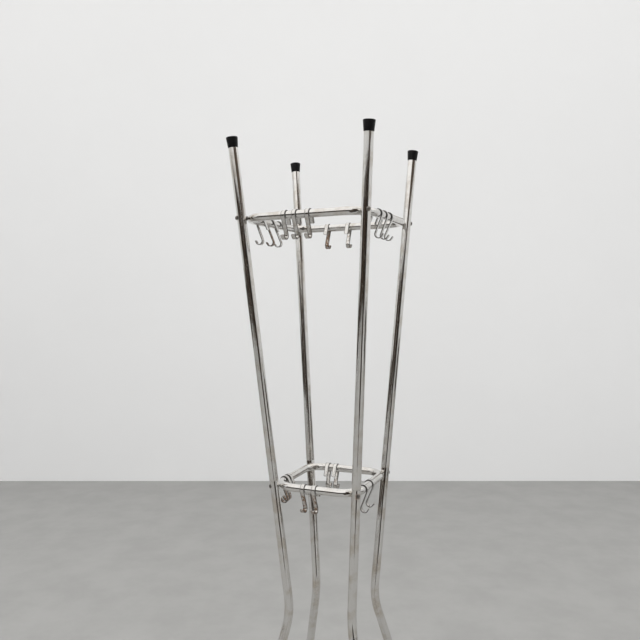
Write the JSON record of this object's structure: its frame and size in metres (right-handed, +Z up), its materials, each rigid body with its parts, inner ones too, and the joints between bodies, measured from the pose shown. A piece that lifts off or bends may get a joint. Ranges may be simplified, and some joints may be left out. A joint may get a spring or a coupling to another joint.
{
  "type": "four way clothing rack",
  "caption": "Free-standing chromed tube clothing rack: leaning posts tied by rounded-square rings, with loose swinging strip hooks on every side.",
  "frame": {"origin": "middle of the four feet on the floor, straight below the middle of the rings", "axes": "+Z up, -Y towards the front side, +X to the right seen from the front"},
  "size_m": [0.4324, 0.4324, 1.7882],
  "materials": {
    "tube_chrome": "aged bright chrome plating on steel tube",
    "hook_chrome": "worn chrome plating on steel strip, tarnished brown in places",
    "fastener": "dull plated steel with a little rust",
    "black_plug": "black moulded plastic, semi-matt"
  },
  "bodies": {
    "stand": {"foot_plug_back_left": "black_plug", "foot_plug_back_right": "black_plug", "foot_plug_front_left": "black_plug", "foot_plug_front_right": "black_plug", "lower_leg_back_left": "tube_chrome", "lower_leg_back_right": "tube_chrome", "lower_leg_front_left": "tube_chrome", "lower_leg_front_right": "tube_chrome", "lower_nut_back_left": "fastener", "lower_nut_back_right": "fastener", "lower_nut_front_left": "fastener", "lower_nut_front_right": "fastener", "lower_ring": "tube_chrome", "lower_screw_back_left": "fastener", "lower_screw_back_right": "fastener", "lower_screw_front_left": "fastener", "lower_screw_front_right": "fastener", "top_plug_back_left": "black_plug", "top_plug_back_right": "black_plug", "top_plug_front_left": "black_plug", "top_plug_front_right": "black_plug", "upper_bolt_back_left": "fastener", "upper_bolt_back_right": "fastener", "upper_bolt_front_left": "fastener", "upper_bolt_front_right": "fastener", "upper_nut_back_left": "fastener", "upper_nut_back_right": "fastener", "upper_nut_front_left": "fastener", "upper_nut_front_right": "fastener", "upper_ring": "tube_chrome", "upper_spacer_back_left": "fastener", "upper_spacer_back_right": "fastener", "upper_spacer_front_left": "fastener", "upper_spacer_front_right": "fastener", "upper_tube_back_left": "tube_chrome", "upper_tube_back_right": "tube_chrome", "upper_tube_front_left": "tube_chrome", "upper_tube_front_right": "tube_chrome"},
    "hook_lower_back_1": {"hook_lower_back_1": "hook_chrome"},
    "hook_lower_back_2": {"hook_lower_back_2": "hook_chrome"},
    "hook_lower_front_1": {"hook_lower_front_1": "hook_chrome"},
    "hook_lower_front_2": {"hook_lower_front_2": "hook_chrome"},
    "hook_lower_left_1": {"hook_lower_left_1": "hook_chrome"},
    "hook_lower_left_2": {"hook_lower_left_2": "hook_chrome"},
    "hook_lower_right_1": {"hook_lower_right_1": "hook_chrome"},
    "hook_lower_right_2": {"hook_lower_right_2": "hook_chrome"},
    "hook_upper_back_1": {"hook_upper_back_1": "hook_chrome"},
    "hook_upper_back_2": {"hook_upper_back_2": "hook_chrome"},
    "hook_upper_front_1": {"hook_upper_front_1": "hook_chrome"},
    "hook_upper_front_2": {"hook_upper_front_2": "hook_chrome"},
    "hook_upper_front_3": {"hook_upper_front_3": "hook_chrome"},
    "hook_upper_left_1": {"hook_upper_left_1": "hook_chrome"},
    "hook_upper_left_2": {"hook_upper_left_2": "hook_chrome"},
    "hook_upper_left_3": {"hook_upper_left_3": "hook_chrome"},
    "hook_upper_right_1": {"hook_upper_right_1": "hook_chrome"},
    "hook_upper_right_2": {"hook_upper_right_2": "hook_chrome"},
    "hook_upper_right_3": {"hook_upper_right_3": "hook_chrome"}
  },
  "joints": [
    {"name": "swing_lower_back_1", "type": "hinge", "parent": "stand", "child": "hook_lower_back_1", "pos_m": [-0.06, 0.11871, 0.836], "axis": [1, 0, 0], "range_deg": [-60, 80]},
    {"name": "swing_lower_back_2", "type": "hinge", "parent": "stand", "child": "hook_lower_back_2", "pos_m": [-0.034, 0.11871, 0.836], "axis": [1, 0, 0], "range_deg": [-60, 80]},
    {"name": "swing_lower_front_1", "type": "hinge", "parent": "stand", "child": "hook_lower_front_1", "pos_m": [-0.032, -0.11871, 0.836], "axis": [-1, 0, 0], "range_deg": [-60, 80]},
    {"name": "swing_lower_front_2", "type": "hinge", "parent": "stand", "child": "hook_lower_front_2", "pos_m": [0.001, -0.11871, 0.836], "axis": [-1, 0, 0], "range_deg": [-60, 80]},
    {"name": "swing_lower_left_1", "type": "hinge", "parent": "stand", "child": "hook_lower_left_1", "pos_m": [-0.11871, -0.06, 0.836], "axis": [0, 1, 0], "range_deg": [-60, 80]},
    {"name": "swing_lower_left_2", "type": "hinge", "parent": "stand", "child": "hook_lower_left_2", "pos_m": [-0.11871, -0.04, 0.836], "axis": [0, 1, 0], "range_deg": [-60, 80]},
    {"name": "swing_lower_right_1", "type": "hinge", "parent": "stand", "child": "hook_lower_right_1", "pos_m": [0.11871, -0.06, 0.836], "axis": [0, -1, 0], "range_deg": [-60, 80]},
    {"name": "swing_lower_right_2", "type": "hinge", "parent": "stand", "child": "hook_lower_right_2", "pos_m": [0.11871, -0.008, 0.836], "axis": [0, -1, 0], "range_deg": [-60, 80]},
    {"name": "swing_upper_back_1", "type": "hinge", "parent": "stand", "child": "hook_upper_back_1", "pos_m": [-0.076, 0.17733, 1.572], "axis": [1, 0, 0], "range_deg": [-60, 80]},
    {"name": "swing_upper_back_2", "type": "hinge", "parent": "stand", "child": "hook_upper_back_2", "pos_m": [-0.007, 0.17733, 1.572], "axis": [1, 0, 0], "range_deg": [-60, 80]},
    {"name": "swing_upper_front_1", "type": "hinge", "parent": "stand", "child": "hook_upper_front_1", "pos_m": [-0.047, -0.17733, 1.572], "axis": [-1, 0, 0], "range_deg": [-60, 80]},
    {"name": "swing_upper_front_2", "type": "hinge", "parent": "stand", "child": "hook_upper_front_2", "pos_m": [-0.017, -0.17733, 1.572], "axis": [-1, 0, 0], "range_deg": [-60, 80]},
    {"name": "swing_upper_front_3", "type": "hinge", "parent": "stand", "child": "hook_upper_front_3", "pos_m": [0.0205, -0.17733, 1.572], "axis": [-1, 0, 0], "range_deg": [-60, 80]},
    {"name": "swing_upper_left_1", "type": "hinge", "parent": "stand", "child": "hook_upper_left_1", "pos_m": [-0.17733, -0.072, 1.572], "axis": [0, 1, 0], "range_deg": [-60, 80]},
    {"name": "swing_upper_left_2", "type": "hinge", "parent": "stand", "child": "hook_upper_left_2", "pos_m": [-0.17733, -0.01, 1.572], "axis": [0, 1, 0], "range_deg": [-60, 80]},
    {"name": "swing_upper_left_3", "type": "hinge", "parent": "stand", "child": "hook_upper_left_3", "pos_m": [-0.17733, 0.038, 1.572], "axis": [0, 1, 0], "range_deg": [-60, 80]},
    {"name": "swing_upper_right_1", "type": "hinge", "parent": "stand", "child": "hook_upper_right_1", "pos_m": [0.17733, -0.085, 1.572], "axis": [0, -1, 0], "range_deg": [-60, 80]},
    {"name": "swing_upper_right_2", "type": "hinge", "parent": "stand", "child": "hook_upper_right_2", "pos_m": [0.17733, -0.04, 1.572], "axis": [0, -1, 0], "range_deg": [-60, 80]},
    {"name": "swing_upper_right_3", "type": "hinge", "parent": "stand", "child": "hook_upper_right_3", "pos_m": [0.17733, 0.002, 1.572], "axis": [0, -1, 0], "range_deg": [-60, 80]}
  ]
}
